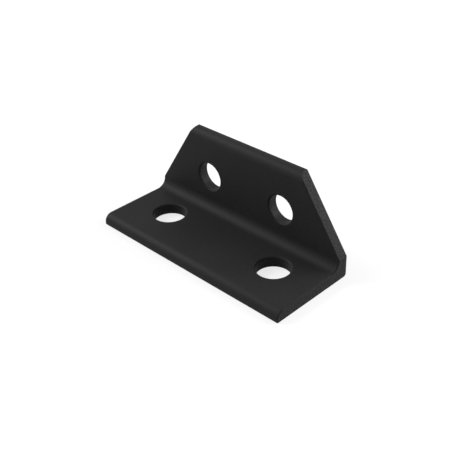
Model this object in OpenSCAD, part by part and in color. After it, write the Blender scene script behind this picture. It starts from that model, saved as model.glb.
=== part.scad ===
// Inside corner bracket for slotted framing, cut from an extruded L section.
// The base leg has two holes on the wide framing pitch, and the upright leg has
// two on the narrow one. Millimetres, +Z up, origin under the middle of the base.

/* [Legs] */
// Length of the bracket along X, which is the length cut from the section
bracket_length = 63.5; // [56:0.5:90]
// Reach of the base leg, from its tip to the outer face of the upright
base_reach = 25.4; // [22:0.1:40]
// Height of the upright leg above the outer face of the base
upright_height = 25.4; // [22:0.1:40]
// Thickness of both legs
wall = 3.175; // [2.8:0.025:5]

/* [Sloped ends] */
// Length of the upright along its top edge
top_length = 37.5; // [34:0.1:46]
// Height of the upright's square ends above the inside fillet
square_end = 0.1; // [0.05:0.05:3]

/* [Rounds] */
// Fillet in the inside corner
inner_fillet = 2.75; // [1.5:0.05:5]
// Round on the outside corner, at the heel
heel_round = 0.9; // [0.5:0.05:2]
// Large round on the inner edge of each leg's tip
tip_round = 2.3; // [1:0.05:2.6]
// Small round on the outer edge of each leg's tip
toe_round = 0.45; // [0.4:0.05:0.8]
// Small round that breaks the edges of the cut ends
edge_break = 0.3; // [0.1:0.05:0.35]
// Round on both rims of every hole
rim_round = 0.5; // [0.1:0.05:0.8]

/* [Base holes] */
// Diameter of the two holes in the base leg
base_hole_d = 8.9; // [6.5:0.1:10]
// Distance between the two holes in the base leg
base_hole_pitch = 38.1; // [30:0.1:44]
// Distance of the base holes from the outer face of the upright
base_hole_set = 12.7; // [12:0.1:16]

/* [Upright holes] */
// Diameter of the two holes in the upright leg
upright_hole_d = 7.8; // [5:0.1:8.5]
// Distance between the two holes in the upright leg
upright_hole_pitch = 25.4; // [20:0.1:28]
// Height of the upright holes above the outer face of the base
upright_hole_set = 12.7; // [11.5:0.1:16]

/* [Hidden] */
$fn = 96;
// How far a cutting shape runs past the surface that it cuts
over = 1;
half_length = bracket_length / 2;
half_top = top_length / 2;
// Outer face of the upright, with the origin under the middle of the base
back_y = base_reach / 2;
// Height at which the ends of the upright begin to slope, and the slope itself
slope_start = wall + inner_fillet + square_end;
slope_rise = upright_height - slope_start;
slope_run = half_length - half_top;
slope_angle = atan2(slope_run, slope_rise);
slope_length = norm([slope_run, slope_rise]);

// The outline of the cut end, walked from the base's toe with the metal on the
// left: the length of each straight, and the radius and sense of the turn after it
LEFT = 1;
RIGHT = -1;
end_walk = [
    [base_reach - toe_round - heel_round, heel_round, LEFT],
    [upright_height - heel_round - toe_round, toe_round, LEFT],
    [wall - toe_round - tip_round, tip_round, LEFT],
    [upright_height - tip_round - wall - inner_fillet, inner_fillet, RIGHT],
    [base_reach - wall - inner_fillet - tip_round, tip_round, LEFT],
    [wall - tip_round - toe_round, toe_round, LEFT],
];

// The space between a square corner at the origin and a round of radius r in it,
// with the metal toward +X and +Y, and a margin outside the corner
module corner_space(r) {
    difference() {
        translate([-over, -over]) square(r + over);
        translate([r, r]) circle(r);
    }
}

// One leg of the section, from the heel at the origin to the tip, outer face on Y = 0
module leg_section(reach) {
    difference() {
        square([reach, wall]);
        translate([reach, 0]) mirror([1, 0]) corner_space(toe_round);
        translate([reach, wall]) rotate(180) corner_space(tip_round);
    }
}

// The L section, with Y of the bracket along X and its Z along Y
module section() {
    translate([back_y, 0]) difference() {
        union() {
            mirror([1, 0]) leg_section(base_reach);
            rotate(90) leg_section(upright_height);
            translate([-wall, wall]) mirror([1, 0]) corner_space(inner_fillet);
        }
        mirror([1, 0]) corner_space(heel_round);
    }
}

// Rounds off the end's edge along a straight of the walk, which runs along +X
module straight_break(run) {
    rotate([90, 0, 90]) linear_extrude(run) mirror([0, 1]) corner_space(edge_break);
}

// Rounds off the end's edge along a quarter turn of the walk
module turn_break(radius, sense) {
    if (sense == LEFT)
        translate([0, radius]) rotate(-90) rotate_extrude(angle = 90)
            translate([radius, 0]) rotate(180) corner_space(edge_break);
    else
        translate([0, -radius]) rotate_extrude(angle = 90)
            translate([radius, 0]) mirror([0, 1]) corner_space(edge_break);
}

// Walks round the cut end from one step of end_walk to the last
module walk_break(step = 0) {
    if (step < len(end_walk)) {
        run = end_walk[step][0];
        radius = end_walk[step][1];
        sense = end_walk[step][2];
        straight_break(run);
        translate([run, 0]) turn_break(radius, sense);
        translate([run + radius, sense * radius]) rotate(sense * 90) walk_break(step + 1);
    }
}

// Everything that the +X end loses: its edges, the slope and the slope's edges
module end_cut() {
    translate([half_length, 0, 0]) {
        rotate([90, 0, 90]) translate([toe_round - base_reach / 2, 0]) walk_break();
        translate([0, back_y, slope_start]) rotate([0, -slope_angle, 0]) {
            translate([0, -wall - over, 0]) cube([slope_run, wall + 2 * over, slope_length + over]);
            linear_extrude(slope_length) rotate(180) corner_space(edge_break);
            translate([0, -wall, 0]) linear_extrude(slope_length) mirror([1, 0]) corner_space(edge_break);
        }
    }
}

// A hole along Z through a wall that starts at Z = 0, with both rims rounded
module hole(diameter) {
    rotate_extrude() {
        translate([0, -over]) square([diameter / 2, wall + 2 * over]);
        translate([diameter / 2, 0]) corner_space(rim_round);
        translate([diameter / 2, wall]) mirror([0, 1]) corner_space(rim_round);
    }
}

module bracket() {
    color([0.13, 0.13, 0.13]) difference() {
        rotate([90, 0, 90]) linear_extrude(bracket_length, center = true) section();
        end_cut();
        mirror([1, 0, 0]) end_cut();
        for (side = [-1, 1]) {
            translate([side * base_hole_pitch / 2, back_y - base_hole_set, 0]) hole(base_hole_d);
            translate([side * upright_hole_pitch / 2, back_y, upright_hole_set])
                rotate([90, 0, 0]) hole(upright_hole_d);
        }
    }
}

bracket();
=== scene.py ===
"""Looks of an inside corner bracket: its black satin coat, and a pale studio to see it in.

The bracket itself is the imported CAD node, whose shape is right, so the script gives
it a coat and builds the floor, the lamps and the camera around it. Lengths are metres.
"""

import math

import bmesh
import bpy
from bpy.props import FloatProperty, FloatVectorProperty, PointerProperty
from mathutils import Matrix, Vector

bl_info = {
    "name": "Inside Corner Bracket",
    "version": (1, 0, 0),
    "blender": (4, 5, 0),
    "location": "View3D > Sidebar > Bracket",
    "description": "Coats an inside corner bracket and sets up a pale studio around it",
    "category": "Object",
}

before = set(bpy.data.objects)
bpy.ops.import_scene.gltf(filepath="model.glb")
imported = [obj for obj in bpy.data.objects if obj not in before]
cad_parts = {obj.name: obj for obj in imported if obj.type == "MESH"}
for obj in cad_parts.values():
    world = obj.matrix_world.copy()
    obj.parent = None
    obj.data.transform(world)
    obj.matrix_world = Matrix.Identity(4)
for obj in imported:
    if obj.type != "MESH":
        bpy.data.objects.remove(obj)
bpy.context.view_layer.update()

MM = 0.001

# How far a face leans towards X where it starts to count as cut, and where it fully does
CUT_LEAN_START = 0.68
CUT_LEAN_END = 0.82

# How strongly each pattern moves the tone and the roughness of the coat
GRAIN_TONE = 0.55
DRIFT_TONE = 0.45
CUT_GRAIN_TONE = 3.2
GRAIN_SHEEN = 0.10
DRIFT_SHEEN = 0.08

# Halfway along a noise, and halfway from the dark tone to the light one
NOISE_MIDDLE = 0.5
TONE_MIDDLE = 0.5

# How many finer layers lie on a crisp noise, and on a soft one
CRISP_DETAIL = 2.0
SOFT_DETAIL = 1.0

# The point that the camera and the lamps aim at, near the middle of the bracket
AIM = Vector((0.0, 1.3 * MM, 12.0 * MM))

# How far from that point the lamps stand, and how wide they are
LAMP_DISTANCE = 1.05
LAMP_WIDTH = 0.60

# Camera: the width of its sensor in millimetres, and the nearest distance that it sees
SENSOR_WIDTH = 36.0
NEAREST_SEEN = 5.0 * MM

FLOOR_SIDES = 96
WHITE = (1.0, 1.0, 1.0, 1.0)


# Shader maths


class Shade:
    """A number that varies over a surface. Arithmetic on it adds Math nodes."""

    def __init__(self, graph, socket):
        self.graph = graph
        self.socket = socket

    def __add__(self, other):
        return self.graph.math("ADD", self, other)

    def __radd__(self, other):
        return self.graph.math("ADD", other, self)

    def __sub__(self, other):
        return self.graph.math("SUBTRACT", self, other)

    def __rsub__(self, other):
        return self.graph.math("SUBTRACT", other, self)

    def __mul__(self, other):
        return self.graph.math("MULTIPLY", self, other)

    def __rmul__(self, other):
        return self.graph.math("MULTIPLY", other, self)


class Graph:
    """The node tree of one material or world, emptied and ready for new nodes."""

    def __init__(self, owner):
        owner.use_nodes = True
        self.tree = owner.node_tree
        self.tree.nodes.clear()

    def add(self, kind, settings=None, inputs=None):
        """Adds one node: its settings first, then the values or links of its inputs."""
        node = self.tree.nodes.new(kind)
        for name, value in (settings or {}).items():
            setattr(node, name, value)
        for name, value in (inputs or {}).items():
            self.feed(node.inputs[name], value)
        return node

    def feed(self, socket, value):
        """Links a shade or another node's output to an input, or sets a plain value."""
        if isinstance(value, Shade):
            value = value.socket
        if isinstance(value, bpy.types.NodeSocket):
            self.tree.links.new(value, socket)
        else:
            socket.default_value = value

    def math(self, operation, first, second):
        """One Math node, as a shade."""
        node = self.add("ShaderNodeMath", {"operation": operation}, {0: first, 1: second})
        return Shade(self, node.outputs[0])

    def noise(self, coordinates, feature_size, detail):
        """A noise from 0 to 1 whose lumps are about feature_size across."""
        node = self.add(
            "ShaderNodeTexNoise",
            {"noise_dimensions": "3D"},
            {"Vector": coordinates, "Scale": 1.0 / feature_size, "Detail": detail},
        )
        return Shade(self, node.outputs["Fac"])


# What a user can change


class BracketCoat(bpy.types.PropertyGroup):
    """The finish of the bracket."""

    dark: FloatVectorProperty(
        name="Dark tone",
        description="Colour of the coat where it is darkest",
        subtype="COLOR",
        default=(0.0086, 0.0086, 0.0088),
        min=0.0,
        max=1.0,
    )
    light: FloatVectorProperty(
        name="Light tone",
        description="Colour of the coat where it is lightest",
        subtype="COLOR",
        default=(0.0160, 0.0160, 0.0163),
        min=0.0,
        max=1.0,
    )
    roughness: FloatProperty(
        name="Roughness",
        description="Mean roughness of the satin surface",
        subtype="FACTOR",
        default=0.57,
        min=0.0,
        max=1.0,
    )
    gloss: FloatProperty(
        name="Gloss",
        description="Strength of the reflection seen straight on",
        subtype="FACTOR",
        default=0.06,
        min=0.0,
        max=1.0,
    )
    grain_size: FloatProperty(
        name="Grain size",
        description="Width of the finest lumps in the coat",
        unit="LENGTH",
        default=0.42 * MM,
        min=0.05 * MM,
        max=2.0 * MM,
        precision=6,
    )
    grain_depth: FloatProperty(
        name="Grain depth",
        description="Height of the finest lumps in the coat",
        unit="LENGTH",
        default=0.045 * MM,
        min=0.0,
        max=0.5 * MM,
        precision=6,
    )
    cut_grain_size: FloatProperty(
        name="Cut grain size",
        description="Width of the lumps on the sawn ends",
        unit="LENGTH",
        default=0.55 * MM,
        min=0.05 * MM,
        max=2.0 * MM,
        precision=6,
    )
    cut_grain_depth: FloatProperty(
        name="Cut grain depth",
        description="Height of the lumps on the sawn ends",
        unit="LENGTH",
        default=0.16 * MM,
        min=0.0,
        max=0.5 * MM,
        precision=6,
    )
    ripple_size: FloatProperty(
        name="Ripple size",
        description="Width of the soft waves that a sprayed coat dries with",
        unit="LENGTH",
        default=1.8 * MM,
        min=0.5 * MM,
        max=10.0 * MM,
        precision=6,
    )
    ripple_depth: FloatProperty(
        name="Ripple depth",
        description="Height of the soft waves that a sprayed coat dries with",
        unit="LENGTH",
        default=0.008 * MM,
        min=0.0,
        max=0.1 * MM,
        precision=6,
    )
    drift_size: FloatProperty(
        name="Drift size",
        description="Width of the patches over which the tone and the sheen drift",
        unit="LENGTH",
        default=11.0 * MM,
        min=2.0 * MM,
        max=100.0 * MM,
        precision=6,
    )


class BracketStage(bpy.types.PropertyGroup):
    """The studio around the bracket."""

    floor_colour: FloatVectorProperty(
        name="Floor colour",
        description="Colour of the pale floor",
        subtype="COLOR",
        default=(0.70, 0.70, 0.70),
        min=0.0,
        max=1.0,
    )
    floor_white: FloatProperty(
        name="Floor white",
        description="Share of plain white in the floor by the bracket, which no shadow reaches",
        subtype="FACTOR",
        default=0.74,
        min=0.0,
        max=1.0,
    )
    floor_fade: FloatProperty(
        name="Floor fade",
        description="Distance over which the floor fades to plain white",
        unit="LENGTH",
        default=0.45,
        min=0.05,
        max=10.0,
    )
    floor_radius: FloatProperty(
        name="Floor radius",
        description="Radius of the round floor",
        unit="LENGTH",
        default=2.0,
        min=0.5,
        max=10.0,
    )
    dome: FloatProperty(
        name="Dome light",
        description="Strength of the even light from all round",
        default=0.48,
        min=0.0,
        max=2.0,
    )
    key_power: FloatProperty(
        name="Key power",
        description="Power of the lamp at the right and behind",
        unit="POWER",
        default=11.4,
        min=0.0,
        max=100.0,
    )
    fill_power: FloatProperty(
        name="Fill power",
        description="Power of the lamp at the left and in front",
        unit="POWER",
        default=14.8,
        min=0.0,
        max=100.0,
    )
    rim_power: FloatProperty(
        name="Rim power",
        description="Power of the low lamp behind",
        unit="POWER",
        default=8.8,
        min=0.0,
        max=100.0,
    )
    azimuth: FloatProperty(
        name="Camera azimuth",
        description="Direction of the camera round the bracket, from the front",
        subtype="ANGLE",
        default=math.radians(46.246),
    )
    elevation: FloatProperty(
        name="Camera elevation",
        description="Height of the camera above the horizon",
        subtype="ANGLE",
        default=math.radians(32.689),
    )
    roll: FloatProperty(
        name="Camera roll",
        description="Turn of the camera about its own line of sight",
        subtype="ANGLE",
        default=math.radians(-2.390),
    )
    distance: FloatProperty(
        name="Camera distance",
        description="Distance from the camera to the point it aims at",
        unit="LENGTH",
        default=210.568 * MM,
        min=50.0 * MM,
        max=2.0,
    )
    lens: FloatProperty(
        name="Focal length",
        description="Focal length of the camera in millimetres",
        unit="CAMERA",
        default=66.186,
        min=10.0,
        max=300.0,
    )
    slide_right: FloatProperty(
        name="Slide right",
        description="How far the aim is moved to the right across the view",
        unit="LENGTH",
        default=0.993 * MM,
        precision=6,
    )
    slide_up: FloatProperty(
        name="Slide up",
        description="How far the aim is moved up across the view",
        unit="LENGTH",
        default=-4.427 * MM,
        precision=6,
    )


# Coat


def coat_material(coat):
    """A black satin coat with a fine grain, coarser where the metal was cut, and soft ripples."""
    material = bpy.data.materials.new("black_satin_coat")
    graph = Graph(material)
    where = graph.add("ShaderNodeTexCoord")
    place = where.outputs["Object"]
    grain = graph.noise(place, coat.grain_size, CRISP_DETAIL)
    cut_grain = graph.noise(place, coat.cut_grain_size, CRISP_DETAIL)
    ripple = graph.noise(place, coat.ripple_size, SOFT_DETAIL)
    drift = graph.noise(place, coat.drift_size, CRISP_DETAIL)

    # The extruded faces run along X, so a face that looks along X was cut
    facing = graph.add("ShaderNodeSeparateXYZ", {}, {"Vector": where.outputs["Normal"]}).outputs["X"]
    lean = graph.add("ShaderNodeMath", {"operation": "ABSOLUTE"}, {0: facing}).outputs[0]
    mask = graph.add(
        "ShaderNodeMapRange",
        {"interpolation_type": "SMOOTHSTEP"},
        {"Value": lean, "From Min": CUT_LEAN_START, "From Max": CUT_LEAN_END},
    )
    cut = Shade(graph, mask.outputs["Result"])

    fine = grain - NOISE_MIDDLE
    slow = drift - NOISE_MIDDLE
    face_tone = GRAIN_TONE * fine + DRIFT_TONE * slow
    cut_tone = CUT_GRAIN_TONE * (cut_grain - NOISE_MIDDLE)
    tone = graph.add(
        "ShaderNodeMix",
        {"data_type": "RGBA"},
        {
            "Factor": TONE_MIDDLE + (1.0 - cut) * face_tone + cut * cut_tone,
            "A": (*coat.dark, 1.0),
            "B": (*coat.light, 1.0),
        },
    )
    lumps = coat.grain_depth * grain + coat.cut_grain_depth * cut * cut_grain
    height = lumps + coat.ripple_depth * ripple
    bump = graph.add("ShaderNodeBump", {}, {"Distance": 1.0, "Height": height})
    sheen = coat.roughness + GRAIN_SHEEN * fine + DRIFT_SHEEN * slow
    surface = graph.add(
        "ShaderNodeBsdfPrincipled",
        {},
        {
            "Base Color": tone.outputs["Result"],
            "Roughness": sheen,
            "Specular IOR Level": coat.gloss,
            "Normal": bump.outputs["Normal"],
        },
    )
    graph.add("ShaderNodeOutputMaterial", {}, {"Surface": surface.outputs["BSDF"]})
    return material


class BRACKET_OT_coat(bpy.types.Operator):
    """Give the bracket its black satin coat"""

    bl_idname = "bracket.coat"
    bl_label = "Coat the bracket"

    def execute(self, context):
        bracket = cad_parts["bracket"]
        if not bracket.material_slots:
            raise RuntimeError("The bracket has no material slot for its coat")
        material = coat_material(context.scene.bracket_coat)
        for slot in bracket.material_slots:
            slot.material = material
        return {"FINISHED"}


# Stage


def direction(azimuth, elevation):
    """The unit vector towards an azimuth from the front and a height above the horizon."""
    level = math.cos(elevation)
    return Vector((math.sin(azimuth) * level, -math.cos(azimuth) * level, math.sin(elevation)))


def seen_white(graph):
    """1 for a ray from the camera, a reflection or a see-through surface, and 0 for others."""
    path = graph.add("ShaderNodeLightPath")
    rays = ("Is Camera Ray", "Is Glossy Ray", "Is Transmission Ray")
    camera, glossy, through = (Shade(graph, path.outputs[ray]) for ray in rays)
    return graph.math("MAXIMUM", graph.math("MAXIMUM", camera, glossy), through)


def make_floor(stage):
    """A round pale floor under the bracket, which keeps a faint shadow."""
    mesh = bpy.data.meshes.new("floor")
    shape = bmesh.new()
    bmesh.ops.create_circle(shape, cap_ends=True, segments=FLOOR_SIDES, radius=stage.floor_radius)
    shape.to_mesh(mesh)
    shape.free()
    floor = bpy.data.objects.new("floor", mesh)
    bpy.context.scene.collection.objects.link(floor)

    material = bpy.data.materials.new("pale_floor")
    graph = Graph(material)
    lit = graph.add("ShaderNodeBsdfDiffuse", {}, {"Color": (*stage.floor_colour, 1.0)})
    white = graph.add("ShaderNodeEmission", {}, {"Color": WHITE, "Strength": 1.0})
    place = graph.add("ShaderNodeTexCoord").outputs["Object"]
    reach = graph.add("ShaderNodeVectorMath", {"operation": "LENGTH"}, {0: place})
    fade = graph.math("MINIMUM", Shade(graph, reach.outputs["Value"]) * (1.0 / stage.floor_fade), 1.0)
    share = stage.floor_white + (1.0 - stage.floor_white) * fade
    both = graph.add("ShaderNodeMixShader", {}, {"Fac": share * seen_white(graph)})
    graph.feed(both.inputs[1], lit.outputs["BSDF"])
    graph.feed(both.inputs[2], white.outputs["Emission"])
    graph.add("ShaderNodeOutputMaterial", {}, {"Surface": both.outputs["Shader"]})
    mesh.materials.append(material)


def make_dome(stage):
    """An even world: white where it is seen, and a plain soft light on the bracket."""
    world = bpy.data.worlds.new("dome")
    bpy.context.scene.world = world
    graph = Graph(world)
    strength = stage.dome + (1.0 - stage.dome) * seen_white(graph)
    sky = graph.add("ShaderNodeBackground", {}, {"Color": WHITE, "Strength": strength})
    graph.add("ShaderNodeOutputWorld", {}, {"Surface": sky.outputs["Background"]})


def make_lamp(name, azimuth, elevation, power):
    """A square soft box that faces the bracket, at angles in degrees, out of the camera's sight."""
    data = bpy.data.lights.new(name, "AREA")
    data.shape = "SQUARE"
    data.size = LAMP_WIDTH
    data.energy = power
    lamp = bpy.data.objects.new(name, data)
    bpy.context.scene.collection.objects.link(lamp)
    out = direction(math.radians(azimuth), math.radians(elevation))
    lamp.matrix_world = Matrix.LocRotScale(AIM + LAMP_DISTANCE * out, out.to_track_quat("Z", "Y"), None)
    lamp.visible_camera = False


def make_camera(stage):
    """A camera that sees the bracket as the photograph does, with no shift."""
    data = bpy.data.cameras.new("camera")
    data.sensor_width = SENSOR_WIDTH
    data.lens = stage.lens
    data.clip_start = NEAREST_SEEN
    camera = bpy.data.objects.new("camera", data)
    bpy.context.scene.collection.objects.link(camera)
    back = direction(stage.azimuth, stage.elevation)
    level_right = Vector((math.cos(stage.azimuth), math.sin(stage.azimuth), 0.0))
    level_up = back.cross(level_right)
    right = math.cos(stage.roll) * level_right + math.sin(stage.roll) * level_up
    up = back.cross(right)
    aim = AIM + stage.slide_right * right + stage.slide_up * up
    turn = Matrix((right, up, back)).transposed()
    camera.matrix_world = Matrix.LocRotScale(aim + stage.distance * back, turn, None)
    bpy.context.scene.camera = camera


class BRACKET_OT_stage(bpy.types.Operator):
    """Set up the floor, the light and the camera"""

    bl_idname = "bracket.stage"
    bl_label = "Set up the studio"

    def execute(self, context):
        stage = context.scene.bracket_stage
        make_floor(stage)
        make_dome(stage)
        make_lamp("key", azimuth=140.0, elevation=30.0, power=stage.key_power)
        make_lamp("rim", azimuth=155.0, elevation=18.0, power=stage.rim_power)
        make_lamp("fill", azimuth=-67.0, elevation=36.0, power=stage.fill_power)
        make_camera(stage)
        context.scene.view_settings.view_transform = "Standard"
        return {"FINISHED"}


# Panel


class BRACKET_PT_builder(bpy.types.Panel):
    """Lists what the script makes, with the values that shape it"""

    bl_idname = "BRACKET_PT_builder"
    bl_label = "Inside Corner Bracket"
    bl_space_type = "VIEW_3D"
    bl_region_type = "UI"
    bl_category = "Bracket"

    def draw(self, context):
        for operator, group in ((BRACKET_OT_coat, "bracket_coat"), (BRACKET_OT_stage, "bracket_stage")):
            box = self.layout.box()
            box.operator(operator.bl_idname)
            values = getattr(context.scene, group)
            for name in values.__annotations__:
                box.prop(values, name)


CLASSES = (BracketCoat, BracketStage, BRACKET_OT_coat, BRACKET_OT_stage, BRACKET_PT_builder)


def register():
    for kind in CLASSES:
        bpy.utils.register_class(kind)
    bpy.types.Scene.bracket_coat = PointerProperty(type=BracketCoat)
    bpy.types.Scene.bracket_stage = PointerProperty(type=BracketStage)


def unregister():
    del bpy.types.Scene.bracket_stage
    del bpy.types.Scene.bracket_coat
    for kind in reversed(CLASSES):
        bpy.utils.unregister_class(kind)


def main():
    """Makes everything in order."""
    register()
    bpy.ops.bracket.coat()
    bpy.ops.bracket.stage()


if __name__ == "__main__":
    main()
